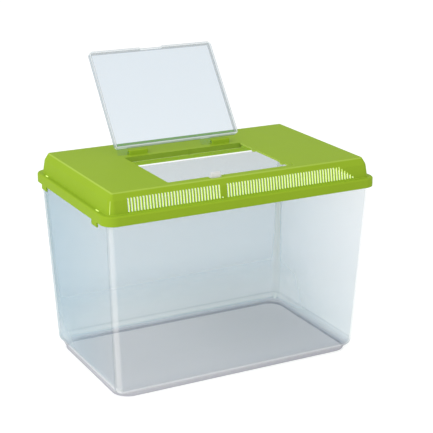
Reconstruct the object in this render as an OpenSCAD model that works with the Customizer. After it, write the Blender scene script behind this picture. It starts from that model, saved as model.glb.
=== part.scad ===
// Clear keeper for small pets: a drafted tank, a lid that clips over it with rows of air slots and a
// feeding hatch, a hatch door that swings up and back, and the catch that holds it shut.
// Millimetres. X runs along the length, the front is at -Y, +Z is up, and the origin is
// the centre of the base. The door is drawn open, as it rests.

/* [Overall] */
// Length over the lid's rim
keeper_l = 413; // [360:1:480]
// Width over the lid's rim
keeper_w = 260; // [250:1:320]
// Height with the hatch door shut
keeper_h = 298; // [200:1:360]

/* [Tank] */
// Wall of the tank
tank_wall = 2.5; // [1.8:0.1:3.5]
// Lean of the tank's sides, in degrees from upright
tank_draft = 2.6; // [0.5:0.1:3.5]
// Outer radius along the bottom edges
base_edge_r = 14; // [8:0.5:20]
// How far the rim stands out from the tank's side
rim_reach = 3.3; // [2.8:0.1:6]
// Wall of the turned-down rim
rim_wall = 1.8; // [1.2:0.1:2.4]
// Depth of the turned-down rim
rim_depth = 10; // [6:0.5:12]
// Height of the foot ring below the floor
foot_h = 4; // [2:0.5:8]
// Width of the foot ring
foot_w = 3; // [2:0.5:6]
// How far the foot ring sits in from the tank's side
foot_inset = 5.6; // [3:0.2:7]
// Outer corner radius of the foot ring
foot_corner_r = 24; // [10:1:30]

/* [Lid] */
// Wall of the lid
lid_wall = 2.2; // [1.6:0.1:2.8]
// Outer corner radius of the lid's rim
lid_corner_r = 18; // [14:0.5:30]
// Depth of the skirt below the ledge
skirt_h = 13.3; // [11:0.1:18]
// Width of the flat ledge round the dome
ledge_w = 7.8; // [6.5:0.1:12]
// Height of the deck above the ledge
dome_h = 27.4; // [20:0.2:36]
// How far the dome's side leans in up to the shoulder
dome_lean = 3; // [1:0.1:5]
// Height from the shoulder up to the deck
shoulder_h = 9.5; // [5:0.1:12]
// Distance of the deck's edge from the rim
deck_inset = 16.8; // [15:0.1:22]
// Rounding of the rim's top edge
rim_edge_r = 2.5; // [1:0.1:4]
// Rounding of the shoulder
shoulder_r = 6; // [2:0.5:10]
// Height of the low step round the deck
deck_step = 1.6; // [0.6:0.1:2.5]

/* [Air slots] */
// Distance from one slot to the next
slot_pitch = 4.36; // [3.6:0.02:6]
// Width of a slot
slot_w = 2.2; // [1.2:0.1:2.6]
// Slot places in a row
slot_count = 79; // [21:2:79]
// Place of the short slot beside the gap in the row
slot_break = 31; // [10:1:60]
// How many slots get shorter towards the end of the row
slot_taper = 4; // [1:1:6]
// How far the slots run over the shoulder
slot_over = 1.6; // [0:0.1:3]

/* [Snap hooks] */
// Width of a hook's tab
hook_w = 17; // [10:0.5:24]
// How far a tab hangs below the skirt
hook_drop = 6.8; // [4:0.2:10]
// Distance of the tabs from the middle, along the width
hook_y = 91; // [60:1:96]
// How far the nib stands in from the tab
hook_nib = 0.5; // [0.2:0.1:0.5]
// Length of the slot in the ledge above a tab
ledge_slot_l = 8.5; // [5:0.5:14]
// Width of the slot in the ledge above a tab
ledge_slot_w = 2; // [1:0.1:2.5]

/* [Hatch opening] */
// Length of the opening
hatch_l = 184; // [120:1:190]
// Width of the opening
hatch_w = 140.5; // [100:0.5:150]
// Middle of the opening along the length
hatch_x = -13.7; // [-20:0.1:20]
// Distance of the opening from the front of the lid's rim
hatch_margin = 27.55; // [26.5:0.05:30]
// Depth of the stiffening flange behind the opening
flange_h = 8; // [4:0.5:12]
// How far the two stays stand into the opening
stay_reach = 5; // [2:0.5:8]
// Length of a stay along the opening's side
stay_l = 15; // [8:0.5:20]

/* [Hatch door] */
// Length of the door
door_l = 196; // [140:1:210]
// Width of the door
door_w = 152; // [110:0.5:160]
// Height of the door's rim
door_h = 5.5; // [4.6:0.1:6.5]
// Thickness of the pane
pane_t = 2; // [1.2:0.1:3]
// Width of the rim's wall
door_rim_w = 3; // [2:0.1:5]
// Corner radius of the door
door_corner_r = 5.5; // [3.5:0.5:12]
// Length of the gap in the front rim
finger_gap = 35; // [20:1:50]
// Angle from shut to open, in degrees
door_swing = 126.8; // [100:0.2:130]

/* [Hinge] */
// Distance between the middles of the hinge blocks
hinge_span = 131; // [100:1:140]
// Length of a hinge block
block_l = 28.4; // [16:0.2:36]
// Width of a hinge block
block_w = 8.5; // [7:0.1:10]
// Height of a hinge block
block_h = 6.5; // [5.8:0.1:7]
// Height of the hinge axis above the deck
hinge_up = 3; // [2.9:0.1:3.4]
// Distance of the hinge axis behind the door's rim
hinge_back = 7.2; // [6.6:0.1:9]
// Radius of the hinge pins
pin_r = 1.7; // [1.2:0.1:2]
// Length of a hinge pin
pin_l = 8.5; // [5:0.5:12]
// Width of an arm
arm_w = 15; // [8:0.5:18]

/* [Catch] */
// Width of the catch
catch_w = 14; // [10:0.5:20]
// Middle of the catch along the length
catch_x = -39.3; // [-60:0.1:40]
// Thickness of the catch's blade
catch_t = 1.8; // [1.2:0.1:2.2]
// Thickness of the nib over the door
nib_t = 1.1; // [0.8:0.1:1.6]
// Reach of the nib over the door
nib_reach = 1.2; // [0.8:0.1:1.3]
// How far the catch springs back
catch_travel = 1.5; // [1.3:0.1:1.8]

/* [Clearances] */
// Between the tank's rim and the lid's skirt
skirt_gap = 0.8; // [0.7:0.1:1.2]
// Between the tank's rim and the lid's ledge
seat_gap = 0.2; // [0.1:0.05:0.5]
// Under the shut door
door_gap = 0.2; // [0.1:0.05:0.5]
// Between the shut door and the catch
catch_gap = 0.3; // [0.2:0.05:0.5]
// Between the nib and the shut door
nib_gap = 0.2; // [0.1:0.05:0.5]
// Round a hinge pin
pin_clear = 0.06; // [0.02:0.01:0.1]
// Beside an arm and under its open stop
arm_gap = 0.5; // [0.3:0.1:1]

/* [Hidden] */
$fn = 64;
over = 1;
lid_colour = [0.59, 0.71, 0.23];
clear_colour = [0.80, 0.87, 0.91, 0.4];

// Heights
deck_z = keeper_h - nib_t - nib_gap - door_h - door_gap;
ledge_z = deck_z - dome_h;
skirt_z = ledge_z - skirt_h;
shoulder_z = deck_z - shoulder_h;
rim_z = ledge_z - lid_wall - seat_gap;

// Tank sides: the rim follows the lid's skirt inside, and the side leans in below it
rim_inset = lid_wall + skirt_gap;
side_inset = rim_inset + rim_reach;
top_corner_r = lid_corner_r - side_inset;
base_z = foot_h + base_edge_r;
base_inset = side_inset + (rim_z - base_z) * tan(tank_draft);

// Hatch opening, door and hinge
hatch_front = hatch_margin - keeper_w / 2;
hatch_y = hatch_front + hatch_w / 2;
hatch_back = hatch_front + hatch_w;
hatch_right = hatch_x + hatch_l / 2;
door_overlap = (door_w - hatch_w) / 2;
door_front = hatch_front - door_overlap;
door_back = door_front + door_w;
hinge_y = door_back + hinge_back;
hinge_z = deck_z + hinge_up;
bore_r = pin_r + pin_clear;
arm_lift = 0.3;
arm_r = hinge_up - arm_lift;
stop_gap = 0.05;
heel_reach = 0.2;
heel_r = hinge_up + heel_reach;
heel_angle = acos((hinge_up - stop_gap) / heel_r);

// Catch, in front of the shut door
blade_back = door_front - catch_gap;
blade_front = blade_back - catch_t;
notch_front = blade_front - catch_travel - catch_gap;
notch_play = 0.5;
notch_w = catch_w + 2 * notch_play;

// Direction of v, one long
function unit(v) = v / norm(v);

// Arc that rounds the corner b between a and c with radius r
function round_corner(a, b, c, r, steps = 5) =
    let (
        u = unit(a - b),
        w = unit(c - b),
        half = acos(u * w) / 2,
        middle = b + unit(u + w) * r / sin(half),
        first = b + u * r / tan(half) - middle,
        turn = (180 - 2 * half) * sign(u[1] * w[0] - u[0] * w[1]),
        start = atan2(first[1], first[0])
    )
    [for (i = [0:steps]) middle + r * [cos(start + turn * i / steps), sin(start + turn * i / steps)]];

// The corner b of the path a, b, c moved to its right by t, square to both stretches
function inner_corner(a, b, c, t) =
    let (
        n1 = [unit(b - a)[1], -unit(b - a)[0]],
        n2 = [unit(c - b)[1], -unit(c - b)[0]]
    )
    b + (n1 + n2) * t / (1 + n1 * n2);

// Rounded rectangle centred on the origin, made of exact arcs
module rounded_plate(l, w, r) {
    square([l - 2 * r, w], center = true);
    square([l, w - 2 * r], center = true);
    for (x = [-1, 1], y = [-1, 1]) translate([x * (l / 2 - r), y * (w / 2 - r)]) circle(r);
}

// The keeper's plan, drawn in by an inset from the lid's rim
module plan(inset) {
    rounded_plate(keeper_l - 2 * inset, keeper_w - 2 * inset, max(lid_corner_r - inset, 1));
}

// A profile of [inset, height] points carried round the lid's rim
module carry_round(profile) {
    run_l = keeper_l - 2 * lid_corner_r;
    run_w = keeper_w - 2 * lid_corner_r;
    for (turn = [0, 180]) rotate(turn) {
        translate([-run_l / 2, -keeper_w / 2, 0])
            rotate([90, 0, 90]) linear_extrude(run_l) polygon(profile);
        translate([keeper_l / 2, -run_w / 2, 0])
            rotate([90, 0, 180]) linear_extrude(run_w) polygon(profile);
        for (side = [0, 1])
            mirror([side, 0, 0])
                translate([run_l / 2, run_w / 2, 0])
                    rotate_extrude(angle = 90)
                        polygon([for (p = profile) [max(lid_corner_r - p[0], 0), p[1]]]);
    }
}

// Four copies, one in each corner of a rectangle
module in_corners(x, y, z) {
    for (i = [-1, 1], j = [-1, 1]) translate([i * x, j * y, z]) children();
}

// Tank
// The drafted tub, drawn in by a wall thickness for its inside
module tub(wall, top) {
    low_in = base_inset + base_edge_r;
    high_in = side_inset + top_corner_r;
    hull() {
        in_corners(keeper_l / 2 - low_in, keeper_w / 2 - low_in, base_z)
            sphere(base_edge_r - wall, $fn = 40);
        in_corners(keeper_l / 2 - high_in, keeper_w / 2 - high_in, rim_z - over)
            cylinder(r = top_corner_r - wall, h = over + top, $fn = 40);
    }
}

module foot_ring() {
    outer = base_inset + foot_inset;
    inner = outer + foot_w;
    linear_extrude(foot_h + tank_wall + over) difference() {
        rounded_plate(keeper_l - 2 * outer, keeper_w - 2 * outer, foot_corner_r);
        rounded_plate(keeper_l - 2 * inner, keeper_w - 2 * inner, foot_corner_r - foot_w);
    }
}

module tank_rim() {
    translate([0, 0, rim_z - rim_wall]) linear_extrude(rim_wall) plan(rim_inset);
    translate([0, 0, rim_z - rim_depth]) linear_extrude(rim_depth) difference() {
        plan(rim_inset);
        plan(rim_inset + rim_wall);
    }
}

module tank() {
    color(clear_colour) difference() {
        union() {
            tub(0, 0);
            foot_ring();
            tank_rim();
        }
        tub(tank_wall, over);
    }
}

// Lid
// Corner points of the lid's side, from the skirt's lower edge up to the deck
side_path = [
    [0, skirt_z],
    [0, ledge_z],
    [ledge_w, ledge_z],
    [ledge_w + dome_lean, shoulder_z],
    [deck_inset, deck_z],
    [deck_inset + 2 * lid_wall, deck_z]
];
step_lean = 0.75;
step_foot = [deck_inset - step_lean * deck_step, deck_z - deck_step];
ledge_fillet_r = 1;

// The side's section: rounded outside, an even wall inside
side_section = concat(
    [side_path[0]],
    round_corner(side_path[0], side_path[1], side_path[2], rim_edge_r),
    round_corner(side_path[1], side_path[2], side_path[3], ledge_fillet_r),
    round_corner(side_path[2], side_path[3], step_foot, shoulder_r),
    [step_foot, side_path[4], side_path[5]],
    [side_path[5] - [0, lid_wall]],
    [for (i = [4:-1:1]) inner_corner(side_path[i - 1], side_path[i], side_path[i + 1], lid_wall)],
    [side_path[0] + [lid_wall, 0]]
);

module deck() {
    translate([0, 0, deck_z - lid_wall]) linear_extrude(lid_wall) plan(deck_inset);
}

// The opening, with a small notch in its front right corner
module hatch_cut() {
    corner_r = 1.5;
    corner_notch = [7.6, 4];
    translate([hatch_x, hatch_y, deck_z - lid_wall - over])
        linear_extrude(lid_wall + 2 * over) rounded_plate(hatch_l, hatch_w, corner_r);
    translate([hatch_right - over, hatch_front, deck_z - lid_wall - over])
        cube([corner_notch[0] + over, corner_notch[1], lid_wall + 2 * over]);
}

// The catch's notch in the opening's front edge
module catch_notch() {
    translate([catch_x - notch_w / 2, notch_front, deck_z - 2 * lid_wall])
        cube([notch_w, hatch_front - notch_front + over, 3 * lid_wall]);
}

// Stiffening flange that hangs behind the opening, with its small rib
module hatch_flange() {
    rib_x = -5;
    rib_t = 1.2;
    rib_reach = 1;
    translate([hatch_x - hatch_l / 2 - lid_wall, hatch_back, deck_z - flange_h])
        cube([hatch_l + 2 * lid_wall, lid_wall, flange_h - lid_wall / 2]);
    translate([rib_x, hatch_back - rib_reach, deck_z - flange_h])
        cube([rib_t, rib_reach + lid_wall / 2, flange_h - lid_wall / 2]);
}

// Two ramped stays that stand into the opening from its right side
module hatch_stays() {
    from_front = 12.5;
    from_back = 49;
    tip_l = 0.27 * stay_l;
    for (y = [hatch_front + from_front, hatch_back - from_back])
        translate([hatch_right, y, deck_z - lid_wall])
            linear_extrude(lid_wall)
                polygon([[over, 0], [-stay_reach, 0], [-stay_reach, tip_l], [0, stay_l], [over, stay_l]]);
}

// One row of air slots across the dome's front
module slot_row() {
    foot = 1.2;
    low = ledge_z + foot;
    high = shoulder_z + slot_over;
    first_taper = slot_count - 1 - slot_taper;
    for (i = [0:slot_count - 1]) if (i != slot_break + 1) {
        x = slot_pitch * (i - (slot_count - 1) / 2);
        taper = (high - low) * (i - first_taper + 1) / (slot_taper + 2);
        top = i == slot_break ? low + slot_w : i >= first_taper ? high - taper : high;
        translate([x - slot_w / 2, -keeper_w / 2 + ledge_w - over, low])
            cube([slot_w, dome_lean + 3 * lid_wall, top - low]);
    }
}

// Snap hook: a tab that hangs from the skirt, with a nib inside
module snap_hook() {
    tip_z = skirt_z - hook_drop;
    chamfer = [0.6, 1];
    nib_low = tip_z + 2;
    nib_high = nib_low + 1;
    nib_end = nib_high + 1;
    translate([-keeper_l / 2, hook_w / 2, 0])
        rotate([90, 0, 0])
            linear_extrude(hook_w)
                polygon([
                    [0, skirt_z + over],
                    [0, tip_z + chamfer[1]],
                    [chamfer[0], tip_z],
                    [lid_wall, tip_z],
                    [lid_wall + hook_nib, nib_low],
                    [lid_wall + hook_nib, nib_high],
                    [lid_wall, nib_end],
                    [lid_wall, skirt_z + over]
                ]);
}

module ledge_slot() {
    inset = (rim_edge_r + ledge_w - ledge_slot_w) / 2;
    translate([inset - keeper_l / 2, -ledge_slot_l / 2, ledge_z - lid_wall - over])
        cube([ledge_slot_w, ledge_slot_l, lid_wall + 2 * over]);
}

module at_hooks() {
    for (turn = [0, 180], y = [-1, 1]) rotate(turn) translate([0, y * hook_y, 0]) children();
}

// Block that carries one hinge pin, its top edges rounded
module hinge_block() {
    edge_r = 1.5;
    translate([-block_l / 2, hinge_y, deck_z]) rotate([90, 0, 90]) linear_extrude(block_l) {
        translate([-block_w / 2, -lid_wall / 2]) square([block_w, lid_wall / 2 + block_h - edge_r]);
        translate([edge_r - block_w / 2, 0]) square([block_w - 2 * edge_r, block_h]);
        for (side = [-1, 1]) translate([side * (block_w / 2 - edge_r), block_h - edge_r]) circle(edge_r);
    }
}

module pin_bore() {
    translate([-block_l / 2 - over, hinge_y, hinge_z])
        rotate([0, 90, 0]) cylinder(r = bore_r, h = over + pin_l + arm_gap);
}

module at_hinges() {
    for (side = [-1, 1]) translate([hatch_x + side * hinge_span / 2, 0, 0]) children();
}

module lid() {
    color(lid_colour) difference() {
        union() {
            carry_round(side_section);
            difference() {
                deck();
                hatch_cut();
            }
            hatch_flange();
            hatch_stays();
            at_hinges() hinge_block();
            at_hooks() snap_hook();
        }
        catch_notch();
        for (turn = [0, 180]) rotate(turn) slot_row();
        at_hooks() ledge_slot();
        at_hinges() pin_bore();
    }
}

// Hatch door, drawn shut
module door_tray() {
    inner_l = door_l - 2 * door_rim_w;
    inner_w = door_w - 2 * door_rim_w;
    translate([hatch_x, door_front + door_w / 2, deck_z + door_gap]) {
        translate([0, 0, door_h - pane_t])
            linear_extrude(pane_t) rounded_plate(door_l, door_w, door_corner_r);
        difference() {
            linear_extrude(door_h - pane_t / 2) difference() {
                rounded_plate(door_l, door_w, door_corner_r);
                rounded_plate(inner_l, inner_w, door_corner_r - door_rim_w);
            }
            translate([-finger_gap / 2, -door_w / 2 - over, -over])
                cube([finger_gap, door_rim_w + 2 * over, door_h - pane_t + over]);
        }
    }
}

// Arm with its pin, and a heel that meets the deck when the door is open
module door_arm() {
    heel = heel_r * [sin(heel_angle + door_swing), -cos(heel_angle + door_swing)];
    root = -hinge_back - door_rim_w / 2;
    translate([-block_l / 2 - arm_gap, hinge_y, hinge_z]) {
        translate([-arm_w, 0, 0]) rotate([90, 0, 90]) linear_extrude(arm_w) {
            circle(arm_r);
            polygon([[root, -arm_r], [0, -arm_r], [0, 0], heel, [0, arm_r], [root, arm_r]]);
        }
        translate([-arm_w / 2, 0, 0]) rotate([0, 90, 0]) cylinder(r = pin_r, h = arm_w / 2 + pin_l);
    }
}

module hatch_door() {
    color(clear_colour)
        translate([0, hinge_y, hinge_z])
            rotate([-door_swing, 0, 0])
                translate([0, -hinge_y, -hinge_z]) {
                    door_tray();
                    at_hinges() door_arm();
                }
}

// Catch: a blade through the notch, held above and below the deck, with a nib over the door
module door_catch() {
    collar = 1.5;
    foot_reach = 2;
    grip_t = 1.2;
    top_z = keeper_h;
    low_z = deck_z - lid_wall - catch_gap;
    color(clear_colour) translate([catch_x, 0, 0]) {
        translate([-catch_w / 2, blade_front, low_z - grip_t])
            cube([catch_w, catch_t, top_z - low_z + grip_t]);
        translate([-catch_w / 2, blade_front, top_z - nib_t])
            cube([catch_w, catch_t + catch_gap + nib_reach, nib_t]);
        translate([-catch_w / 2 - collar, blade_front, deck_z + door_gap])
            cube([catch_w + 2 * collar, catch_t, grip_t]);
        translate([-catch_w / 2 - foot_reach, blade_front, low_z - grip_t])
            cube([catch_w + 2 * foot_reach, hatch_front - blade_front, grip_t]);
    }
}

tank();
lid();
hatch_door();
door_catch();
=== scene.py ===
"""Looks of the clear pet keeper: its tank, green lid, hatch door and catch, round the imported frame."""

import math
from collections import namedtuple

import bmesh
import bpy
from mathutils import Matrix, Vector

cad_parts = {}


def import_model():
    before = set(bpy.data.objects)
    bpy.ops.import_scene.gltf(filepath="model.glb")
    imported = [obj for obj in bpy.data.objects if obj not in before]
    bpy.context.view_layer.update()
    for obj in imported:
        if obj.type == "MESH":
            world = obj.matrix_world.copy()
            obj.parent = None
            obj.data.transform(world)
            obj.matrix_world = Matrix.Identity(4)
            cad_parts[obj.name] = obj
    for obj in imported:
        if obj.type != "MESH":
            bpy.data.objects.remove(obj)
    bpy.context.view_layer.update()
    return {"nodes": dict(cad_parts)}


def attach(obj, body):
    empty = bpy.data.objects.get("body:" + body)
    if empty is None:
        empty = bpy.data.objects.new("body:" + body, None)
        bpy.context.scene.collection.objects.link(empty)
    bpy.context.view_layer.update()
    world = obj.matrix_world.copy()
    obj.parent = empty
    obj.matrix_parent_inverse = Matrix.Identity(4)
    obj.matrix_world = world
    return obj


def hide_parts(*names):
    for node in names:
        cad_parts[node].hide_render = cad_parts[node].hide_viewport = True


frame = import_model()

MM = 0.001

# Points nearer each other than this, in metres, are one point, in a skin and in a copy of a solid
MERGE, COPY_MERGE = 0.00001, 0.000002

# Faces of a copied solid that turn less than this, in degrees, are one face
COPY_FLAT = 0.5

# The mouldings' sizes in millimetres and angles in degrees, with their counts and shares
KEEPER_L, KEEPER_W, KEEPER_H = 413, 260, 298
TANK_WALL, TANK_DRAFT, BASE_EDGE_R = 2.5, 2.6, 14
RIM_REACH, RIM_WALL, RIM_DEPTH = 3.3, 1.8, 10
FOOT_H, FOOT_W, FOOT_INSET, FOOT_CORNER_R = 4, 3, 5.6, 24
LID_WALL, LID_CORNER_R, SKIRT_H, LEDGE_W = 2.2, 18, 13.3, 7.8
DOME_H, DOME_LEAN, SHOULDER_H, DECK_INSET = 27.4, 3, 9.5, 16.8
RIM_EDGE_R, SHOULDER_R, DECK_STEP, STEP_LEAN = 2.5, 6, 1.6, 0.75
SLOT_PITCH, SLOT_W, SLOT_COUNT, SLOT_BREAK, SLOT_TAPER, SLOT_OVER = 4.36, 2.2, 79, 31, 4, 1.6
SLOT_FOOT, SLOT_CUT, OVERCUT = 1.2, DOME_LEAN + 3 * LID_WALL, 1
HOOK_W, HOOK_DROP, HOOK_Y, HOOK_NIB = 17, 6.8, 91, 0.5
LEDGE_SLOT_L, LEDGE_SLOT_W, LEDGE_CUT_BELOW, LEDGE_CUT_ABOVE = 8.5, 2, 4, 0.9
HATCH_L, HATCH_W, HATCH_X, HATCH_MARGIN = 184, 140.5, -13.7, 27.55
CORNER_NOTCH_L, CORNER_NOTCH_W, HATCH_CUT_BELOW, HATCH_CUT_ABOVE = 7.6, 4, 8, 4
FLANGE_H, STAY_REACH, STAY_L, STAY_SQUARE, STAY_FRONT, STAY_BACK = 8, 5, 15, 0.27, 12.5, 49
RIB_X, RIB_W = -5, 1.2
DOOR_L, DOOR_W, DOOR_H, DOOR_RIM_W, DOOR_SWING = 196, 152, 5.5, 3, 126.8
BLOCK_L, BLOCK_W, BLOCK_H, HINGE_SPAN = 28.4, 8.5, 6.5, 131
HINGE_UP, HINGE_BACK, PIN_R, PIN_L = 3, 7.2, 1.7, 8.5
CATCH_W, CATCH_X, CATCH_T, NIB_T, CATCH_TRAVEL = 14, -39.3, 1.8, 1.1, 1.5
SKIRT_GAP, SEAT_GAP, DOOR_GAP, CATCH_GAP, NIB_GAP, PIN_CLEAR, ARM_GAP = 0.8, 0.2, 0.2, 0.3, 0.2, 0.06, 0.5
NOTCH_PLAY = 0.5

# Radii of the rounded edges that the solids leave sharp
OPENING_EDGE_R, BLOCK_EDGE_R, TRIM_EDGE_R = 0.5, 1.2, 0.3
DOOR_EDGE_R, CATCH_EDGE_R, FOOT_EDGE_R = 0.5, 0.2, 0.5

DECK_Z = KEEPER_H - NIB_T - NIB_GAP - DOOR_H - DOOR_GAP
LEDGE_Z = DECK_Z - DOME_H
SKIRT_Z = LEDGE_Z - SKIRT_H
SHOULDER_Z = DECK_Z - SHOULDER_H
RIM_Z = LEDGE_Z - LID_WALL - SEAT_GAP
RIM_INSET = LID_WALL + SKIRT_GAP
SIDE_INSET = RIM_INSET + RIM_REACH
TOP_CORNER_R = LID_CORNER_R - SIDE_INSET
BASE_Z = FOOT_H + BASE_EDGE_R
BASE_INSET = SIDE_INSET + (RIM_Z - BASE_Z) * math.tan(math.radians(TANK_DRAFT))
HATCH_FRONT = HATCH_MARGIN - KEEPER_W / 2
HATCH_BACK = HATCH_FRONT + HATCH_W
HATCH_LEFT = HATCH_X - HATCH_L / 2
HATCH_RIGHT = HATCH_X + HATCH_L / 2
DOOR_FRONT = HATCH_FRONT - (DOOR_W - HATCH_W) / 2
HINGE_Y = DOOR_FRONT + DOOR_W + HINGE_BACK
NOTCH_FRONT = DOOR_FRONT - CATCH_GAP - CATCH_T - CATCH_TRAVEL - CATCH_GAP

# The photograph's point of view, in metres and degrees, for a square frame
CAMERA_PLACE = (-0.79682, -1.55180, 0.75351)
CAMERA_YAW, CAMERA_PITCH = 27.7541, -17.6009
FRAME_PX, FOCAL_PX, SENSOR = 433, 1281.06, 36

# Steps of a plan corner and of the tank's lower edge
CORNER_STEPS, EDGE_STEPS = 16, 12

# The front left corner's number in the plan, and those of its steps that carry a painted dark line
FRONT_LEFT, LINE_STEPS = 2, (3, 4)

# The radius up to which an upright corner shows no painted highlight band, and the least radius of a corner
BAND_CORNER_R, LEAST_CORNER_R = 4, 0.02

# How the clear wall's veil changes: to the right, to the back, towards the floor and towards the lower edge
VEIL_MIDDLE, VEIL_RIGHT, VEIL_BACK, FLOOR_VEIL, EDGE_VEIL = 0.95, 0.06, 0.6, 0.7, 1.2

# The veil's share on the foot, the underside and the rim
FOOT_VEIL, UNDERSIDE_VEIL, RIM_VEIL = 3, 1.2, 0.4

# How strongly the painted white highlight band where the wall bends shows in front and on the inner edge, and
# the painted dark line on that edge
FRONT_HIGHLIGHT, INNER_HIGHLIGHT, INNER_LINE = 0.5, 0.9, 0.4

# How much painted highlight and glow the lid's cut edges, creases and corners get
FLANGE_HIGHLIGHT, OPENING_HIGHLIGHT, STEP_HIGHLIGHT, CORNER_HIGHLIGHT = 0.8, 0.15, 0.12, 0.5


# Meshes

# One ring of a loft: its place, its corner radius, and the clear wall's looks there
Ring = namedtuple("Ring", "inset z corner_r bend crease veil back floor", defaults=(0, 0, 1, VEIL_BACK, 0))


def object_from(mesh_data, name):
    """A new object of that bmesh, in the scene."""
    mesh = bpy.data.meshes.new(name)
    mesh_data.to_mesh(mesh)
    mesh_data.free()
    obj = bpy.data.objects.new(name, mesh)
    bpy.context.scene.collection.objects.link(obj)
    return obj


def arc(centre, radius, start, end, steps):
    """Points of an arc between two angles in degrees."""
    angles = [math.radians(start + (end - start) * i / steps) for i in range(steps + 1)]
    return [(centre[0] + radius * math.cos(a), centre[1] + radius * math.sin(a)) for a in angles]


def rounded(points, radii, steps):
    """The open path with each inner corner rounded by its radius; a radius of 0 keeps the corner."""
    out = [Vector(points[0])]
    for a, b, c, r in zip(points, points[1:], points[2:], radii):
        a, b, c = Vector(a), Vector(b), Vector(c)
        if not r:
            out.append(b)
            continue
        u, w = (a - b).normalized(), (c - b).normalized()
        half = u.angle(w) / 2
        middle = b + (u + w).normalized() * (r / math.sin(half))
        first = b + u * (r / math.tan(half)) - middle
        turn = (math.pi - 2 * half) * (1 if w.x * u.y - w.y * u.x > 0 else -1)
        start = math.atan2(first.y, first.x)
        for i in range(steps + 1):
            angle = start + turn * i / steps
            out.append(middle + Vector((math.cos(angle), math.sin(angle))) * r)
    out.append(Vector(points[-1]))
    return out


def plan_ring(inset, corner_r):
    """Points of the keeper's plan, drawn in by an inset, with that corner radius."""
    half_l, half_w = KEEPER_L / 2 - inset, KEEPER_W / 2 - inset
    corners = [(1, 1, 0), (-1, 1, 90), (-1, -1, 180), (1, -1, 270)]
    ring = []
    for sx, sy, start in corners:
        centre = (sx * (half_l - corner_r), sy * (half_w - corner_r))
        ring += arc(centre, corner_r, start, start + 90, CORNER_STEPS)
    return ring


def skin_between(bm, low, high):
    """Faces between two rings of points."""
    for i in range(len(low)):
        j = (i + 1) % len(low)
        bm.faces.new((low[i], low[j], high[j], high[i]))


def closed_skin(bm, name):
    """The object of a skin, with its points merged and its faces turned outwards."""
    bmesh.ops.remove_doubles(bm, verts=bm.verts, dist=MERGE)
    bmesh.ops.recalc_face_normals(bm, faces=bm.faces)
    return object_from(bm, name)


def loft(profile, name):
    """A closed solid whose profile of rings runs round the keeper's plan.

    Its attributes are the painted white highlight band, which also rises towards the middle of each upright
    corner and is weaker in front, the painted dark line, which also marks a line beside the front left
    corner, the veil, which changes with the place, and the floor, where the wall takes a painted greyer
    shade.
    """
    bm = bmesh.new()
    keys = ("bend", "crease", "veil", "floor")
    bend, crease, veil, ground = (bm.verts.layers.float.new(key) for key in keys)
    rings = []
    for ring in profile:
        made = []
        upright = ring.corner_r > BAND_CORNER_R and ring.bend >= 0
        for i, (x, y) in enumerate(plan_ring(ring.inset, max(ring.corner_r, LEAST_CORNER_R))):
            v = bm.verts.new((x * MM, y * MM, ring.z * MM))
            corner, step = divmod(i, CORNER_STEPS + 1)
            # Painted white highlight band, weaker in front and rising to the middle of each upright corner,
            # and a painted dark line beside the front left corner
            edge = ring.bend * (FRONT_HIGHLIGHT if ring.bend > 0 and y < 0 else 1)
            on_line = upright and corner == FRONT_LEFT and step in LINE_STEPS
            v[bend] = max(math.sin(math.pi * step / CORNER_STEPS) if upright else 0, edge)
            v[crease] = max(1 if on_line else 0, ring.crease)
            v[veil] = ring.veil * (VEIL_MIDDLE + VEIL_RIGHT * 2 * x / KEEPER_L + ring.back * 2 * y / KEEPER_W)
            v[ground] = ring.floor
            made.append(v)
        rings.append(made)
    for low, high in zip(rings, rings[1:]):
        skin_between(bm, low, high)
    bm.faces.new(rings[0])
    bm.faces.new(rings[-1])
    return closed_skin(bm, name)


def prism(outline, low, high, name):
    """An upright solid of a closed outline in millimetres."""
    bm = bmesh.new()
    bottom = [bm.verts.new((x * MM, y * MM, low * MM)) for x, y in outline]
    top = [bm.verts.new((x * MM, y * MM, high * MM)) for x, y in outline]
    skin_between(bm, bottom, top)
    bm.faces.new(bottom)
    bm.faces.new(top)
    bmesh.ops.recalc_face_normals(bm, faces=bm.faces)
    return object_from(bm, name)


def box(x, y, z, name="box"):
    """A box between two places on each axis."""
    return prism([(x[0], y[0]), (x[1], y[0]), (x[1], y[1]), (x[0], y[1])], z[0], z[1], name)


def turned(obj, matrix):
    """The object with a matrix applied to its mesh."""
    obj.data.transform(matrix)
    return obj


def applied(obj):
    """The object's mesh with its modifiers made final."""
    graph = bpy.context.evaluated_depsgraph_get()
    mesh = bpy.data.meshes.new_from_object(obj.evaluated_get(graph))
    obj.modifiers.clear()
    obj.data = mesh
    return obj


def cut(obj, tools):
    """The object with each tool cut out of it; the tools are removed."""
    for tool in tools:
        mod = obj.modifiers.new("cut", "BOOLEAN")
        mod.operation, mod.solver, mod.object = "DIFFERENCE", "EXACT", tool
    applied(obj)
    for tool in tools:
        bpy.data.objects.remove(tool)
    return obj


def joined(objects, name):
    """One object of several meshes."""
    bm = bmesh.new()
    for obj in objects:
        bm.from_mesh(obj.data)
        bpy.data.objects.remove(obj)
    return object_from(bm, name)


def edges_rounded(obj, width, segments=3, angle=35):
    """The object with its sharp edges rounded."""
    mod = obj.modifiers.new("edges", "BEVEL")
    mod.width, mod.segments = width * MM, segments
    mod.limit_method, mod.angle_limit = "ANGLE", math.radians(angle)
    return applied(obj)


def smooth(obj, angle=32):
    """Smooth shading between faces that meet under the angle, led by the larger faces."""
    obj.data.shade_smooth()
    obj.data.set_sharp_from_angle(angle=math.radians(angle))
    mod = obj.modifiers.new("weighted", "WEIGHTED_NORMAL")
    mod.keep_sharp = True
    return applied(obj)


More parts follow.
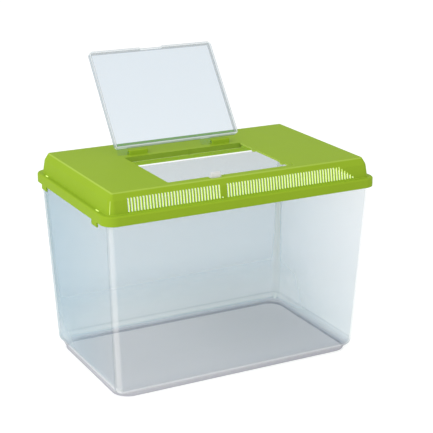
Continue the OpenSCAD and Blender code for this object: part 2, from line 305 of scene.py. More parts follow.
def cad_copy(node_name, name):
    """A merged copy of a CAD node, with its flat faces whole again."""
    bm = bmesh.new()
    bm.from_mesh(frame["nodes"][node_name].data)
    bmesh.ops.remove_doubles(bm, verts=bm.verts, dist=COPY_MERGE)
    bmesh.ops.dissolve_limit(bm, angle_limit=math.radians(COPY_FLAT), verts=bm.verts, edges=bm.edges)
    obj = object_from(bm, name)
    obj.data.materials.clear()
    return obj


# Materials

def linear(r, g, b):
    """A colour read off the screen as the renderer wants it."""
    return tuple(((v / 255 + 0.055) / 1.055) ** 2.4 if v > 10.31 else v / 255 / 12.92 for v in (r, g, b))


def node(tree, kind, **values):
    """A node of a tree; values name its settings or its inputs."""
    made = tree.nodes.new(kind)
    for key, value in values.items():
        if hasattr(made, key):
            setattr(made, key, value)
        else:
            made.inputs[key.replace("_", " ")].default_value = value
    return made


# Places of a mix node's first input and of its result, for each kind of data
MIX_FIRST, MIX_RESULT = {"FLOAT": 2, "RGBA": 6}, {"FLOAT": 0, "RGBA": 2}


def put_in(tree, socket, value):
    """Give a socket a number, a colour or another node's result."""
    if isinstance(value, bpy.types.NodeSocket):
        tree.links.new(value, socket)
    elif isinstance(value, tuple):
        socket.default_value = (*value, 1)
    else:
        socket.default_value = value


def math_of(tree, operation, *values):
    """The result of a math node for numbers or other nodes' results."""
    made = node(tree, "ShaderNodeMath", operation=operation)
    for socket, value in zip(made.inputs, values):
        put_in(tree, socket, value)
    return made.outputs[0]


def mix_of(tree, kind, share, a, b):
    """The result of a mix node, for that kind of data."""
    made = node(tree, "ShaderNodeMix", data_type=kind)
    first = MIX_FIRST[kind]
    for slot, value in ((0, share), (first, a), (first + 1, b)):
        put_in(tree, made.inputs[slot], value)
    return made.outputs[MIX_RESULT[kind]]


def ramp_of(tree, source, low, high, at_low=0, at_high=1):
    """A smooth step from one value to another, between two values of its source."""
    made = node(tree, "ShaderNodeMapRange", interpolation_type="SMOOTHSTEP")
    made.inputs["From Min"].default_value, made.inputs["From Max"].default_value = low, high
    made.inputs["To Min"].default_value, made.inputs["To Max"].default_value = at_low, at_high
    tree.links.new(source, made.inputs["Value"])
    return made.outputs["Result"]


def attribute_of(tree, name):
    """The value of a mesh's attribute."""
    return node(tree, "ShaderNodeAttribute", attribute_name=name).outputs["Fac"]


def add_inputs(tree, kind, defaults):
    """Inputs of a node group, all of one kind, with their defaults."""
    for name, default in defaults.items():
        tree.interface.new_socket(name, in_out="INPUT", socket_type=kind).default_value = default


def moulded_surface():
    """Node group: the slight unevenness of a moulded wall, and fine handling marks."""
    tree = bpy.data.node_groups.new("moulded_surface", "ShaderNodeTree")
    defaults = {"Flow Size": 0.03, "Grain Size": 0.0012, "Flow": 0.5, "Grain": 0.5, "Marks": 0.3}
    add_inputs(tree, "NodeSocketFloat", defaults)
    for name in ("Tone", "Gloss Loss", "Height"):
        tree.interface.new_socket(name, in_out="OUTPUT", socket_type="NodeSocketFloat")
    put, get = tree.nodes.new("NodeGroupInput"), tree.nodes.new("NodeGroupOutput")
    link = tree.links.new
    place = tree.nodes.new("ShaderNodeTexCoord")

    def times(a, b):
        return math_of(tree, "MULTIPLY", a, b)

    def plus(a, b):
        return math_of(tree, "ADD", a, b)

    flow = node(tree, "ShaderNodeTexNoise", Detail=2.0, Roughness=0.5, Distortion=0.4)
    link(place.outputs["Object"], flow.inputs["Vector"])
    link(math_of(tree, "DIVIDE", 1, put.outputs["Flow Size"]), flow.inputs["Scale"])
    grain = node(tree, "ShaderNodeTexNoise", Detail=3.0, Roughness=0.6)
    link(place.outputs["Object"], grain.inputs["Vector"])
    link(math_of(tree, "DIVIDE", 1, put.outputs["Grain Size"]), grain.inputs["Scale"])
    stretch = node(tree, "ShaderNodeMapping", Scale=(140, 900, 420), Rotation=(0.4, 0.3, 0.9))
    link(place.outputs["Object"], stretch.inputs["Vector"])
    marks = node(tree, "ShaderNodeTexNoise", Scale=1.0, Detail=4.0, Roughness=0.7)
    link(stretch.outputs["Vector"], marks.inputs["Vector"])
    thin = node(tree, "ShaderNodeMapRange", From_Min=0.58, From_Max=0.8)
    link(marks.outputs["Fac"], thin.inputs["Value"])

    flow_part = times(plus(flow.outputs["Fac"], -0.5), put.outputs["Flow"])
    grain_part = times(plus(grain.outputs["Fac"], -0.5), put.outputs["Grain"])
    marks_part = times(thin.outputs["Result"], put.outputs["Marks"])
    tone = times(plus(flow_part, times(grain_part, 0.4)), 0.2)
    dull = plus(times(flow_part, 0.1), times(grain_part, 0.2))
    fine = plus(times(grain_part, 0.1), times(marks_part, -0.04))
    link(plus(tone, 1), get.inputs["Tone"])
    link(plus(dull, times(marks_part, 0.25)), get.inputs["Gloss Loss"])
    link(plus(times(flow_part, 0.7), fine), get.inputs["Height"])
    return tree


SURFACE = moulded_surface()


def material(name, **unevenness):
    """A new material with its tree, its shader and the moulded surface, whose inputs the values name."""
    made = bpy.data.materials.new(name)
    made.use_nodes = True
    tree = made.node_tree
    surface = node(tree, "ShaderNodeGroup", node_tree=SURFACE, **unevenness)
    return made, tree, tree.nodes["Principled BSDF"], surface


def finish_inputs(tree, shader, surface, colour, roughness, bump):
    """Colour, roughness and bump of a shader, varied by the moulded surface; gives the colour's socket."""
    link = tree.links.new
    tone = node(tree, "ShaderNodeMix", data_type="RGBA", blend_type="MULTIPLY")
    tone.inputs["Factor"].default_value = 1
    first = MIX_FIRST["RGBA"]
    tone.inputs[first].default_value = (*colour, 1)
    grey = tree.nodes.new("ShaderNodeCombineColor")
    for channel in ("Red", "Green", "Blue"):
        link(surface.outputs["Tone"], grey.inputs[channel])
    link(grey.outputs["Color"], tone.inputs[first + 1])
    link(tone.outputs[MIX_RESULT["RGBA"]], shader.inputs["Base Color"])
    link(math_of(tree, "ADD", surface.outputs["Gloss Loss"], roughness), shader.inputs["Roughness"])
    lift = node(tree, "ShaderNodeBump", Strength=1, Distance=bump * MM)
    link(surface.outputs["Height"], lift.inputs["Height"])
    link(lift.outputs["Normal"], shader.inputs["Normal"])
    return tone.inputs[first]


def green_moulding():
    """Green plastic.

    Its attributes mark painted highlight and glow on cut edges and creases, painted light where light would
    come through from behind, and painted shade on faces that lie in the dark.
    """
    made, tree, shader, surface = material(
        "green_moulding", Flow_Size=0.05, Grain_Size=0.0011, Flow=0.35, Grain=0.5, Marks=0.2
    )
    # The green's own colour, and the pale lime of its painted highlights
    body, edge = linear(150, 181, 46), linear(226, 242, 150)
    colour = finish_inputs(tree, shader, surface, body, 0.42, 0.05)
    glow, painted_light, shade = (attribute_of(tree, key) for key in ("glow", "painted_light", "shade"))
    # Painted highlight: the green turns pale lime where the glow attribute is set
    highlighted_colour = mix_of(tree, "RGBA", glow, body, edge)
    # Painted shade: a darker copy of the green on faces that lie in the dark
    put_in(tree, colour, mix_of(tree, "RGBA", shade, highlighted_colour, linear(134, 165, 50)))
    # Painted glow: a pale lime light given off where the glow attribute is set
    light = mix_of(tree, "RGBA", glow, (0, 0, 0), linear(170, 184, 112))
    # Painted light: the green's own colour given off on faces that light from behind would reach
    put_in(tree, shader.inputs["Emission Color"], mix_of(tree, "RGBA", painted_light, light, body))
    shader.inputs["Emission Strength"].default_value = 0.8
    shader.inputs["IOR"].default_value = 1.48
    shader.inputs["Specular IOR Level"].default_value = 0.02
    return made


def clear_wall():
    """Node group: colour and veil of a clear wall: painted white highlight where it bends, painted dark lines
    on given lines and where it is seen steeply, and painted greyer shade on its floor.
    """
    tree = bpy.data.node_groups.new("clear_wall", "ShaderNodeTree")
    shape = {"Bend": 0, "Crease": 0, "Facing": 0, "Share": 1, "Floor": 0}
    veils = {"Body Veil": 0.15, "Line Veil": 0.4, "Light Veil": 0.4}
    add_inputs(tree, "NodeSocketFloat", shape | veils)
    colours = dict.fromkeys(("Body", "Painted Floor Shade", "Line", "Light"), (0.8, 0.8, 0.8, 1))
    add_inputs(tree, "NodeSocketColor", colours)
    tree.interface.new_socket("Colour", in_out="OUTPUT", socket_type="NodeSocketColor")
    tree.interface.new_socket("Veil", in_out="OUTPUT", socket_type="NodeSocketFloat")
    put, get = tree.nodes.new("NodeGroupInput"), tree.nodes.new("NodeGroupOutput")
    given = put.outputs

    # Painted white highlight band where the wall bends
    band = ramp_of(tree, given["Bend"], 0.55, 0.9)
    # Painted dark lines on the given lines and where the wall is seen steeply
    line = math_of(tree, "MAXIMUM", given["Crease"], ramp_of(tree, given["Facing"], 0.86, 0.99))
    veil = mix_of(tree, "FLOAT", band, given["Body Veil"], given["Light Veil"])
    # Painted greyer shade on the floor
    body = mix_of(tree, "RGBA", given["Floor"], given["Body"], given["Painted Floor Shade"])
    colour = mix_of(tree, "RGBA", band, body, given["Light"])
    lined = mix_of(tree, "FLOAT", line, veil, given["Line Veil"])
    put_in(tree, get.inputs["Veil"], math_of(tree, "MULTIPLY", lined, given["Share"]))
    put_in(tree, get.inputs["Colour"], mix_of(tree, "RGBA", line, colour, given["Line"]))
    return tree


CLEAR_WALL = clear_wall()


def clear_moulding(name, body, line, light, veils, roughness, shape_of=None):
    """Clear plastic: thin and faintly blue on its walls, painted whiter where it bends as a highlight, with
    painted dark fine lines between.
    """
    made, tree, shader, surface = material(
        name, Flow_Size=0.06, Grain_Size=0.002, Flow=0.3, Grain=0.05, Marks=0.04
    )
    colour = finish_inputs(tree, shader, surface, body, roughness, 0.02)
    wall = node(tree, "ShaderNodeGroup", node_tree=CLEAR_WALL)
    for key, value in (("Body", body), ("Painted Floor Shade", PAINTED_FLOOR_SHADE), ("Line", line), ("Light", light)):
        put_in(tree, wall.inputs[key], value)
    for key, value in zip(("Body Veil", "Line Veil", "Light Veil"), veils):
        put_in(tree, wall.inputs[key], value)
    seen = node(tree, "ShaderNodeLayerWeight", Blend=0.5)
    put_in(tree, wall.inputs["Facing"], seen.outputs["Facing"])
    if shape_of:
        for key, value in shape_of(tree).items():
            put_in(tree, wall.inputs[key], value)
    put_in(tree, colour, wall.outputs["Colour"])
    put_in(tree, shader.inputs["Alpha"], wall.outputs["Veil"])
    shader.inputs["IOR"].default_value = 1.49
    return made


def tank_shape(tree):
    """How far the tank's wall bends for its painted highlight band, its painted dark lines, its painted floor
    shade and the share of its veil, from its attributes.
    """
    keys = {"Bend": "bend", "Crease": "crease", "Share": "veil", "Floor": "floor"}
    return {key: attribute_of(tree, name) for key, name in keys.items()}


def door_shape(tree):
    """The door's rim as a painted white highlight band with a painted dark line on both sides, and a thin
    veil on its arms, by the place on it.
    """
    link = tree.links.new
    place = tree.nodes.new("ShaderNodeTexCoord")
    turn = math.radians(DOOR_SWING)
    axis = Vector((0, HINGE_Y, DECK_Z + HINGE_UP)) * MM
    lie = node(tree, "ShaderNodeMapping", Rotation=(turn, 0, 0))
    lie.inputs["Location"].default_value = -(Matrix.Rotation(turn, 3, "X") @ axis)
    link(place.outputs["Object"], lie.inputs["Vector"])
    split = tree.nodes.new("ShaderNodeSeparateXYZ")
    link(lie.outputs["Vector"], split.inputs[0])

    def inside(source, middle, half):
        away = math_of(tree, "ABSOLUTE", math_of(tree, "SUBTRACT", source, middle * MM))
        return math_of(tree, "SUBTRACT", half * MM, away)

    across = inside(split.outputs["X"], HATCH_X, DOOR_L / 2)
    along = inside(split.outputs["Y"], -HINGE_BACK - DOOR_W / 2, DOOR_W / 2)
    depth = math_of(tree, "MINIMUM", across, along)

    def step(low, high, at_low=0, at_high=1):
        return ramp_of(tree, depth, low * MM, high * MM, at_low, at_high)

    rim = DOOR_RIM_W
    inner = math_of(tree, "MULTIPLY", step(rim - 0.7, rim - 0.1), step(rim + 0.5, rim + 1, 1, 0))
    outer = math_of(tree, "MULTIPLY", step(-0.1, 0), step(0.5, 0.9, 0.7, 0))
    band = math_of(tree, "MULTIPLY", step(0.3, 0.8), step(rim - 0.2, rim + 0.2, 1, 0))
    line = math_of(tree, "MAXIMUM", inner, outer)
    return {"Bend": band, "Crease": line, "Share": step(-0.6, -0.2, 0.3, 1)}


GREEN = green_moulding()
# Colours of the painted dark lines, of the painted white highlight bands and of the painted greyer shade on
# the tank's floor
LINE, WHITISH, PAINTED_FLOOR_SHADE = linear(110, 128, 138), linear(244, 250, 253), linear(122, 122, 144)
CLEAR_TANK = clear_moulding(
    "clear_tank_moulding", linear(90, 160, 188), LINE, WHITISH, (0.18, 0.6, 0.4), 0.06, tank_shape
)
CLEAR_DOOR = clear_moulding(
    "clear_door_moulding", linear(30, 140, 180), LINE, WHITISH, (0.165, 0.45, 0.6), 0.05, door_shape
)
CLEAR_CATCH = clear_moulding(
    "clear_catch_moulding", linear(240, 240, 238), LINE, WHITISH, (0.8, 0.9, 0.8), 0.15
)


# Tank

def tank_shell():
    """The tub with its foot ring and turned-down rim, one closed skin."""
    foot_out = BASE_INSET + FOOT_INSET
    foot_in = foot_out + FOOT_W
    edge_middle = BASE_INSET + BASE_EDGE_R
    foot_corners = [(foot_in, FOOT_H), (foot_in, 0), (foot_out, 0), (foot_out, FOOT_H)]
    profile = []
    # The foot takes the painted greyer floor shade and no painted highlight band
    for p in rounded(foot_corners, [FOOT_EDGE_R, FOOT_EDGE_R], 3):
        veil = FOOT_VEIL if p.x < foot_out + FOOT_W / 2 else UNDERSIDE_VEIL
        corner_r = FOOT_CORNER_R - (p.x - foot_out)
        profile.append(Ring(p.x, p.y, corner_r, bend=-1, veil=veil, back=0, floor=1))
    # Towards the floor, the outer lower edge takes more veil and the painted greyer floor shade
    first = math.degrees(math.acos((BASE_EDGE_R - FOOT_INSET) / BASE_EDGE_R))
    for i in range(EDGE_STEPS + 1):
        share = i / EDGE_STEPS
        a = math.radians(first * (1 - share))
        r = BASE_EDGE_R * math.cos(a)
        z = BASE_Z - BASE_EDGE_R * math.sin(a)
        low = 1 - share
        looks = {"veil": 1 + EDGE_VEIL * low, "back": VEIL_BACK * share, "floor": low}
        profile.append(Ring(edge_middle - r, z, r, **looks))
    under_rim = RIM_Z - RIM_WALL
    lip = RIM_INSET + RIM_WALL
    low_rim = RIM_Z - RIM_DEPTH
    # The looks change from the wall's to the rim's between these two heights
    wall_top, rim_foot = low_rim - 1.3, low_rim - 1
    profile.append(Ring(SIDE_INSET, wall_top, TOP_CORNER_R))
    rim_path = rounded(
        [
            (SIDE_INSET, rim_foot),
            (SIDE_INSET, under_rim),
            (lip, under_rim),
            (lip, low_rim),
            (RIM_INSET, low_rim),
            (RIM_INSET, RIM_Z),
            (SIDE_INSET + TANK_WALL, RIM_Z),
            (SIDE_INSET + TANK_WALL, rim_foot),
        ],
        [0.6, 0.4, 0.5, 0.5, 1, 0.8],
        3,
    )
    for p in rim_path:
        profile.append(Ring(p.x, p.y, LID_CORNER_R - p.x, bend=-1, veil=RIM_VEIL, back=-VEIL_BACK))
    profile.append(Ring(SIDE_INSET + TANK_WALL, wall_top, TOP_CORNER_R - TANK_WALL))
    # The inner lower edge: a painted white highlight band that fades towards the floor, a painted dark line
    # near its upper end and the painted greyer floor shade at the floor
    inner_r = BASE_EDGE_R - TANK_WALL
    for i in range(EDGE_STEPS + 1):
        share = i / EDGE_STEPS
        a = math.radians(90 * share)
        r = inner_r * math.cos(a)
        late = share**3
        looks = {"bend": INNER_HIGHLIGHT * (1 - late), "crease": INNER_LINE if i == 1 else 0, "floor": late}
        veil, back = 1 + FLOOR_VEIL * late, VEIL_BACK * (1 - late)
        z = BASE_Z - inner_r * math.sin(a)
        profile.append(Ring(edge_middle - r, z, r, veil=veil, back=back, **looks))
    return smooth(loft(profile, "tank_shell"), 30)


# Lid

def slot_cutters():
    """The tools that cut the two long rows of slots.

    Geometry Nodes space them evenly, leave one out beside a short one at the break, and taper the last ones.
    """
    tree = bpy.data.node_groups.new("slot_row", "GeometryNodeTree")
    face = tree.interface
    face.new_socket("Geometry", in_out="OUTPUT", socket_type="NodeSocketGeometry")
    wanted = {
        "Count": ("NodeSocketInt", SLOT_COUNT),
        "Pitch": ("NodeSocketFloat", SLOT_PITCH * MM),
        "Width": ("NodeSocketFloat", SLOT_W * MM),
        "Depth": ("NodeSocketFloat", SLOT_CUT * MM),
        "Height": ("NodeSocketFloat", (SHOULDER_Z + SLOT_OVER - LEDGE_Z - SLOT_FOOT) * MM),
        "Break": ("NodeSocketInt", SLOT_BREAK),
        "Taper": ("NodeSocketInt", SLOT_TAPER),
        "Finish": ("NodeSocketMaterial", GREEN),
    }
    for name, (kind, default) in wanted.items():
        face.new_socket(name, in_out="INPUT", socket_type=kind).default_value = default
    put, get = tree.nodes.new("NodeGroupInput"), tree.nodes.new("NodeGroupOutput")
    link = tree.links.new

    def math_node(operation, *values):
        return math_of(tree, operation, *values)

    index = tree.nodes.new("GeometryNodeInputIndex").outputs[0]
    points = tree.nodes.new("GeometryNodePoints")
    link(put.outputs["Count"], points.inputs["Count"])
    half = math_node("MULTIPLY", math_node("SUBTRACT", put.outputs["Count"], 1), 0.5)
    along = math_node("MULTIPLY", math_node("SUBTRACT", index, half), put.outputs["Pitch"])
    position = tree.nodes.new("ShaderNodeCombineXYZ")
    link(along, position.inputs["X"])
    link(position.outputs[0], points.inputs["Position"])
    missing = math_node("COMPARE", index, math_node("ADD", put.outputs["Break"], 1), 0.1)
    kept = tree.nodes.new("GeometryNodeDeleteGeometry")
    link(points.outputs[0], kept.inputs["Geometry"])
    link(missing, kept.inputs["Selection"])

    place = tree.nodes.new("GeometryNodeInputPosition")
    split = tree.nodes.new("ShaderNodeSeparateXYZ")
    link(place.outputs[0], split.inputs[0])
    rank = math_node("ADD", math_node("DIVIDE", split.outputs["X"], put.outputs["Pitch"]), half)
    first = math_node("SUBTRACT", math_node("SUBTRACT", put.outputs["Count"], 1), put.outputs["Taper"])
    steps = math_node("MAXIMUM", math_node("ADD", math_node("SUBTRACT", rank, first), 1), 0)
    late = math_node("GREATER_THAN", steps, 0.5)
    share = math_node("DIVIDE", steps, math_node("ADD", put.outputs["Taper"], 2))
    tall = math_node("SUBTRACT", 1, math_node("MULTIPLY", share, late))
    short = math_node("COMPARE", rank, put.outputs["Break"], 0.1)
    stub = math_node("DIVIDE", put.outputs["Width"], put.outputs["Height"])
    whole = math_node("MULTIPLY", tall, math_node("SUBTRACT", 1, short))
    size = math_node("ADD", whole, math_node("MULTIPLY", stub, short))
    scale = tree.nodes.new("ShaderNodeCombineXYZ")
    scale.inputs["X"].default_value = scale.inputs["Y"].default_value = 1
    link(size, scale.inputs["Z"])

    shape = tree.nodes.new("ShaderNodeCombineXYZ")
    link(put.outputs["Width"], shape.inputs["X"])
    link(put.outputs["Depth"], shape.inputs["Y"])
    link(put.outputs["Height"], shape.inputs["Z"])
    cube = tree.nodes.new("GeometryNodeMeshCube")
    link(shape.outputs[0], cube.inputs["Size"])
    raise_by = tree.nodes.new("ShaderNodeCombineXYZ")
    link(math_node("MULTIPLY", put.outputs["Height"], 0.5), raise_by.inputs["Z"])
    lifted = tree.nodes.new("GeometryNodeTransform")
    link(cube.outputs["Mesh"], lifted.inputs["Geometry"])
    link(raise_by.outputs[0], lifted.inputs["Translation"])
    placed = tree.nodes.new("GeometryNodeInstanceOnPoints")
    link(kept.outputs[0], placed.inputs["Points"])
    link(lifted.outputs[0], placed.inputs["Instance"])
    link(scale.outputs[0], placed.inputs["Scale"])
    real = tree.nodes.new("GeometryNodeRealizeInstances")
    link(placed.outputs[0], real.inputs[0])
    coat = tree.nodes.new("GeometryNodeSetMaterial")
    link(real.outputs[0], coat.inputs["Geometry"])
    link(put.outputs["Finish"], coat.inputs["Material"])
    link(coat.outputs[0], get.inputs["Geometry"])

    def row(turn):
        tools = bpy.data.objects.new("slot_tools", bpy.data.meshes.new("slot_tools"))
        bpy.context.scene.collection.objects.link(tools)
        mod = tools.modifiers.new("row", "NODES")
        mod.node_group = tree
        applied(tools)
        centre = (0, -KEEPER_W / 2 + LEDGE_W - OVERCUT + SLOT_CUT / 2, LEDGE_Z + SLOT_FOOT)
        turned(tools, Matrix.Rotation(turn, 4, "Z") @ Matrix.Translation(Vector(centre) * MM))
        return tools

    return [row(0), row(math.pi)]


def lid_rings():
    """The lid's section as rings of inset, height and corner radius.

    They go up over its outside and back under its inside.
    """
    step_foot = (DECK_INSET - STEP_LEAN * DECK_STEP, DECK_Z - DECK_STEP)
    flat_deck = (DECK_INSET + 4, DECK_Z)
    outside = rounded(
        [
            (LID_WALL, SKIRT_Z),
            (0, SKIRT_Z),
            (0, LEDGE_Z),
            (LEDGE_W, LEDGE_Z),
            (LEDGE_W + DOME_LEAN, SHOULDER_Z),
            step_foot,
            (DECK_INSET, DECK_Z),
            flat_deck,
        ],
        [0.4, RIM_EDGE_R, 1, SHOULDER_R, 0.3, 0.5],
        8,
    )
    inside = rounded(
        [
            (DECK_INSET + LID_WALL, DECK_Z - LID_WALL),
            (DECK_INSET + LID_WALL / 2, DECK_Z - LID_WALL),
            (LEDGE_W + DOME_LEAN + LID_WALL, SHOULDER_Z - LID_WALL / 2),
            (LEDGE_W + LID_WALL, LEDGE_Z - LID_WALL),
            (LID_WALL, LEDGE_Z - LID_WALL),
            (LID_WALL, SKIRT_Z),
        ],
        [0, 3, 0.4, 0.8],
        5,
    )
    return [(p.x, p.y, max(LID_CORNER_R - p.x, 1)) for p in outside + inside[:-1]]


def lid_skin():
    """The lid's walls and deck as one closed skin."""
    rings = lid_rings()
    bm = bmesh.new()
    made = []
    for inset, z, corner_r in rings:
        made.append([bm.verts.new((x * MM, y * MM, z * MM)) for x, y in plan_ring(inset, corner_r)])
    deck_at = max(i for i, (_, z, _) in enumerate(rings) if abs(z - DECK_Z) < 0.001)
    pairs = [(i, i + 1) for i in range(len(rings) - 1) if i != deck_at] + [(len(rings) - 1, 0)]
    for a, b in pairs:
        skin_between(bm, made[a], made[b])
    bm.faces.new(made[deck_at])
    bm.faces.new(made[deck_at + 1])
    return closed_skin(bm, "lid_moulding")


def hatch_outline():
    """The opening's outline, with the notch in its front right corner and the catch's notch."""
    notch_right, notch_back = HATCH_RIGHT + CORNER_NOTCH_L, HATCH_FRONT + CORNER_NOTCH_W
    catch_left = CATCH_X - CATCH_W / 2 - NOTCH_PLAY
    catch_right = CATCH_X + CATCH_W / 2 + NOTCH_PLAY
    points = [
        (HATCH_X, HATCH_FRONT),
        (notch_right, HATCH_FRONT),
        (notch_right, notch_back),
        (HATCH_RIGHT, notch_back),
        (HATCH_RIGHT, HATCH_BACK),
        (HATCH_LEFT, HATCH_BACK),
        (HATCH_LEFT, HATCH_FRONT),
        (catch_left, HATCH_FRONT),
        (catch_left, NOTCH_FRONT),
        (catch_right, NOTCH_FRONT),
        (catch_right, HATCH_FRONT),
        (HATCH_X, HATCH_FRONT),
    ]
    radii = [0.5, 0.5, 0.4, 1.5, 1.5, 1.5, 0.4, 0.3, 0.3, 0.4]
    return [tuple(p) for p in rounded(points, radii, 4)[:-1]]


def opening_rounded(lid):
    """The lid with the edges of its opening rounded."""
    bm = bmesh.new()
    bm.from_mesh(lid.data)
    weights = bm.edges.layers.float.new("bevel_weight_edge")
    same, sharp_turn = 1e-6, 1.2
    levels = (DECK_Z * MM, (DECK_Z - LID_WALL) * MM)
    for edge in bm.edges:
        a, b = edge.verts
        on_deck = all(any(abs(v.co.z - level) < same for level in levels) for v in (a, b))
        level_edge = abs(a.co.z - b.co.z) < same
        sharp = len(edge.link_faces) == 2 and edge.calc_face_angle(0) > sharp_turn
        edge[weights] = 1.0 if on_deck and level_edge and sharp else 0.0
    bm.to_mesh(lid.data)
    bm.free()
    mod = lid.modifiers.new("hatch_edge", "BEVEL")
    mod.width, mod.segments, mod.limit_method = OPENING_EDGE_R * MM, 3, "WEIGHT"
    return applied(lid)


def ledge_slots():
    """The tools that cut the short slots in the ledge over the hooks."""
    left = -KEEPER_L / 2 + (RIM_EDGE_R + LEDGE_W - LEDGE_SLOT_W) / 2
    heights = (LEDGE_Z - LEDGE_CUT_BELOW, LEDGE_Z + LEDGE_CUT_ABOVE)
    tools = []
    for turn in (0, math.pi):
        for side in (-1, 1):
            along = (side * HOOK_Y - LEDGE_SLOT_L / 2, side * HOOK_Y + LEDGE_SLOT_L / 2)
            tool = box((left, left + LEDGE_SLOT_W), along, heights)
            tools.append(turned(tool, Matrix.Rotation(turn, 4, "Z")))
    return tools


def flange_rib():
    """The small upright rib on the flange's front face."""
    along = (HATCH_BACK - 1, HATCH_BACK + 1)
    return box((RIB_X, RIB_X + RIB_W), along, (DECK_Z - FLANGE_H, DECK_Z - LID_WALL / 2))


def stay(y):
    """A tongue at the opening's right edge, from that place to the back."""
    square = STAY_SQUARE * STAY_L
    outline = [(1, 0), (-STAY_REACH, 0), (-STAY_REACH, square), (0, STAY_L), (1, STAY_L)]
    places = [(HATCH_RIGHT + a, y + b) for a, b in outline]
    return edges_rounded(prism(places, DECK_Z - LID_WALL, DECK_Z - 0.02, "stay"), TRIM_EDGE_R)


def hinge_block(side):
    """A rounded block on the deck, with the bore for the door's pin from its left end."""
    middle = HATCH_X + side * HINGE_SPAN / 2
    block = box(
        (middle - BLOCK_L / 2, middle + BLOCK_L / 2),
        (HINGE_Y - BLOCK_W / 2, HINGE_Y + BLOCK_W / 2),
        (DECK_Z - LID_WALL / 2, DECK_Z + BLOCK_H),
        "block",
    )
    edges_rounded(block, BLOCK_EDGE_R, 5)
    bore = bmesh.new()
    depth, radius = OVERCUT + PIN_L + ARM_GAP, (PIN_R + PIN_CLEAR) * MM
    size = {"radius1": radius, "radius2": radius, "depth": depth * MM}
    bmesh.ops.create_cone(bore, cap_ends=True, segments=32, **size)
    tool = object_from(bore, "bore")
    centre = Vector((middle - BLOCK_L / 2 - OVERCUT + depth / 2, HINGE_Y, DECK_Z + HINGE_UP)) * MM
    turned(tool, Matrix.Translation(centre) @ Matrix.Rotation(math.pi / 2, 4, "Y"))
    return cut(block, [tool])


def lid_moulding():
    """The whole green moulding."""
    lid = lid_skin()
    cut(lid, [prism(hatch_outline(), DECK_Z - HATCH_CUT_BELOW, DECK_Z + HATCH_CUT_ABOVE, "hatch")])
    opening_rounded(lid)
    cut(lid, slot_cutters() + ledge_slots())
    parts = [lid, hatch_flange(), flange_rib()]
    parts += [stay(y) for y in (HATCH_FRONT + STAY_FRONT, HATCH_BACK - STAY_BACK)]
    parts += [hinge_block(side) for side in (-1, 1)]
    parts += [snap_hook(turn, side * HOOK_Y) for turn in (0, math.pi) for side in (-1, 1)]
    return marked(smooth(joined(parts, "lid_moulding")))


def hatch_flange():
    """The flange behind the opening, flush with the opening's wall and chamfered below."""
    low, high, edge = DECK_Z - FLANGE_H, DECK_Z - 0.6, 0.4
    front, back = HATCH_BACK - 0.02, HATCH_BACK + LID_WALL
    section = [
        (front, high), (front, low + edge), (front + edge, low),
        (back - edge, low), (back, low + edge), (back, high),
    ]
    flange = prism(section, HATCH_LEFT - LID_WALL, HATCH_RIGHT + LID_WALL, "flange")
    return turned(flange, Matrix(((0, 0, 1, 0), (1, 0, 0, 0), (0, 1, 0, 0), (0, 0, 0, 1))))


def looks_of(x, y, z, normal):
    """Painted highlight and glow, painted light and painted shade of a lid's face at that place."""
    upright = abs(normal.z) < 0.5
    near_hatch = HATCH_LEFT - 1 < x < HATCH_RIGHT + 9 and NOTCH_FRONT - 1 < y < HATCH_BACK + 0.5
    # Painted shade on the flange behind the opening, with a painted highlight on its downward faces
    if near_hatch and y > HATCH_BACK - 1.5 and z < DECK_Z - 0.5:
        return (FLANGE_HIGHLIGHT, 0, 0) if normal.z < -0.3 else (0, 0, 1)
    # Painted highlight on the opening's upright edges
    if upright and near_hatch and DECK_Z - LID_WALL - 0.1 < z < DECK_Z + 0.1:
        return OPENING_HIGHLIGHT, 0, 0
    in_row_y = abs(y) > KEEPER_W / 2 - LEDGE_W - DOME_LEAN - 2 * LID_WALL
    in_row = in_row_y and abs(x) < KEEPER_L / 2 - DECK_INSET - 1
    # Painted glow on the side walls of the long slots
    if in_row and abs(normal.x) > 0.9 and LEDGE_Z + 1 < z < SHOULDER_Z + SLOT_OVER + 1:
        return 1, 0, 0
    by_hook = abs(abs(y) - HOOK_Y) < LEDGE_SLOT_L and KEEPER_L / 2 - 8 < abs(x) < KEEPER_L / 2 - 3
    # Painted glow on the walls of the ledge slots over the hooks
    if upright and by_hook and LEDGE_Z - LID_WALL < z < LEDGE_Z:
        return 1, 0, 0
    # Painted highlight on the deck's step
    if 0.1 < normal.z < 0.99 and DECK_Z - DECK_STEP - 0.1 < z < DECK_Z - 0.02:
        return STEP_HIGHLIGHT, 0, 0
    # Painted highlight line on the dome's upright corners
    at_corner = abs(x) > KEEPER_L / 2 - DECK_INSET and abs(y) > KEEPER_W / 2 - DECK_INSET
    if at_corner and LEDGE_Z + 2 < z < SHOULDER_Z and 0.06 < abs(normal.x) - abs(normal.y) < 0.1:
        return CORNER_HIGHLIGHT, 0, 0
    # Painted light on the skirt's inner faces and the undersides below the ledge
    outward = normal.x * x + normal.y * y
    if z < LEDGE_Z - LID_WALL + 0.1 and (outward < 0 or normal.z < -0.5) and z > SKIRT_Z + 0.5:
        return 0, 1, 0
    return 0, 0, 0


def marked(obj):
    """The lid with its attributes of painted highlight and glow, painted light and painted shade on every
    face.
    """
    places = [looks_of(*(face.center / MM), face.normal) for face in obj.data.polygons]
    for key, values in zip(("glow", "painted_light", "shade"), zip(*places)):
        layer = obj.data.attributes.new(key, "FLOAT", "FACE")
        layer.data.foreach_set("value", values)
    return obj


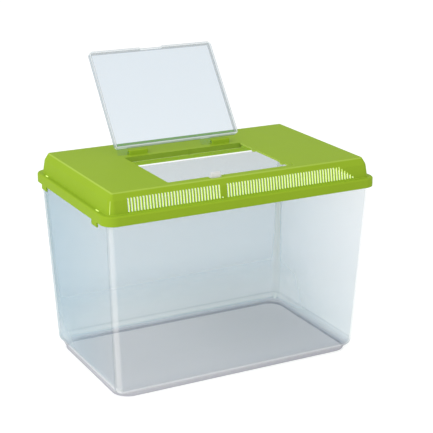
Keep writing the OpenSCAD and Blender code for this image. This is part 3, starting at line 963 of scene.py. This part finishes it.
def snap_hook(turn, y):
    """A tab that hangs from the skirt, with its nib inside."""
    tip = SKIRT_Z - HOOK_DROP
    section = [
        (0.01, SKIRT_Z + 1), (0.01, tip + 1), (0.6, tip), (LID_WALL, tip), (LID_WALL + HOOK_NIB, tip + 2),
        (LID_WALL + HOOK_NIB, tip + 3), (LID_WALL, tip + 4), (LID_WALL - 0.01, SKIRT_Z + 1),
    ]
    hook = prism(section, -HOOK_W / 2, HOOK_W / 2, "hook")
    stand = Matrix(((1, 0, 0, 0), (0, 0, -1, 0), (0, 1, 0, 0), (0, 0, 0, 1)))
    turned(hook, stand)
    edges_rounded(hook, TRIM_EDGE_R, 2)
    edge_place = Matrix.Translation(Vector((-KEEPER_L / 2, y, 0)) * MM)
    return turned(hook, Matrix.Rotation(turn, 4, "Z") @ edge_place)


# The pieces, each on its body

def dressed(obj, finish, body, node_name):
    """The object in its finish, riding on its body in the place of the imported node."""
    obj.data.materials.clear()
    obj.data.materials.append(finish)
    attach(obj, body)
    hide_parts(node_name)
    return obj


tank = dressed(tank_shell(), CLEAR_TANK, "base", "tank")
lid = dressed(lid_moulding(), GREEN, "lid_body", "lid")
door = cad_copy("hatch_door", "hatch_door_pane")
smooth(edges_rounded(door, DOOR_EDGE_R))
dressed(door, CLEAR_DOOR, "door_body", "hatch_door")
catch = cad_copy("door_catch", "catch_blade")
smooth(edges_rounded(catch, CATCH_EDGE_R, 2))
dressed(catch, CLEAR_CATCH, "catch_body", "door_catch")
tank.visible_shadow = False
door.visible_shadow = False


# Stage, lights and camera

FLOOR_HALF, FLOOR_DROP, FLOOR_GLOW, WORLD_LIGHT = 6, 0.0005, 0.45, 0.72


def background_rays(tree):
    """1 for the rays that see the background: from the camera, off a gloss or bent by a clear solid."""
    path = tree.nodes.new("ShaderNodeLightPath")
    direct = math_of(tree, "MAXIMUM", path.outputs["Is Camera Ray"], path.outputs["Is Glossy Ray"])
    return math_of(tree, "MAXIMUM", direct, path.outputs["Is Transmission Ray"])


def floor():
    """A white floor that looks as bright as the background and keeps the soft shadow."""
    bm = bmesh.new()
    bmesh.ops.create_grid(bm, x_segments=1, y_segments=1, size=FLOOR_HALF)
    obj = object_from(bm, "studio_floor")
    obj.data.transform(Matrix.Translation((0, 0, -FLOOR_DROP)))
    made = bpy.data.materials.new("studio_floor")
    made.use_nodes = True
    tree = made.node_tree
    shader = tree.nodes["Principled BSDF"]
    shader.inputs["Base Color"].default_value = (0.8, 0.8, 0.8, 1)
    shader.inputs["Roughness"].default_value = 1
    shader.inputs["Specular IOR Level"].default_value = 0
    glow = mix_of(tree, "RGBA", background_rays(tree), (0, 0, 0), (1, 1, 1))
    put_in(tree, shader.inputs["Emission Color"], glow)
    shader.inputs["Emission Strength"].default_value = FLOOR_GLOW
    obj.data.materials.append(made)


def world():
    """A white studio, which lights the object less than it shows."""
    made = bpy.data.worlds.new("studio")
    bpy.context.scene.world = made
    made.use_nodes = True
    tree = made.node_tree
    back = tree.nodes["Background"]
    strength = node(tree, "ShaderNodeMapRange", To_Min=WORLD_LIGHT, To_Max=1)
    put_in(tree, strength.inputs["Value"], background_rays(tree))
    put_in(tree, back.inputs["Strength"], strength.outputs["Result"])
    back.inputs["Color"].default_value = (1, 1, 1, 1)


def lamp(name, place, size, power):
    """A square lamp at that place, in metres and watts, aimed at the keeper."""
    data = bpy.data.lights.new(name, "AREA")
    data.energy, data.size = power, size
    obj = bpy.data.objects.new(name, data)
    bpy.context.scene.collection.objects.link(obj)
    obj.location = place
    aim = Vector((0, 0, 0.2)) - Vector(place)
    obj.rotation_euler = aim.to_track_quat("-Z", "Y").to_euler()


def camera():
    """The photograph's point of view."""
    data = bpy.data.cameras.new("photo_view")
    obj = bpy.data.objects.new("photo_view", data)
    bpy.context.scene.collection.objects.link(obj)
    obj.location = CAMERA_PLACE
    obj.rotation_euler = (math.radians(90 + CAMERA_PITCH), 0, math.radians(-CAMERA_YAW))
    data.sensor_width = SENSOR
    data.lens = FOCAL_PX / FRAME_PX * SENSOR
    data.clip_start, data.clip_end = 0.05, 50
    bpy.context.scene.camera = obj


floor()
world()
lamp("key", place=(-1.8, -0.6, 1.4), size=1.4, power=22)
lamp("fill", place=(1.4, -1.6, 1.2), size=1.6, power=4)
camera()
bpy.context.scene.view_settings.view_transform = "Standard"
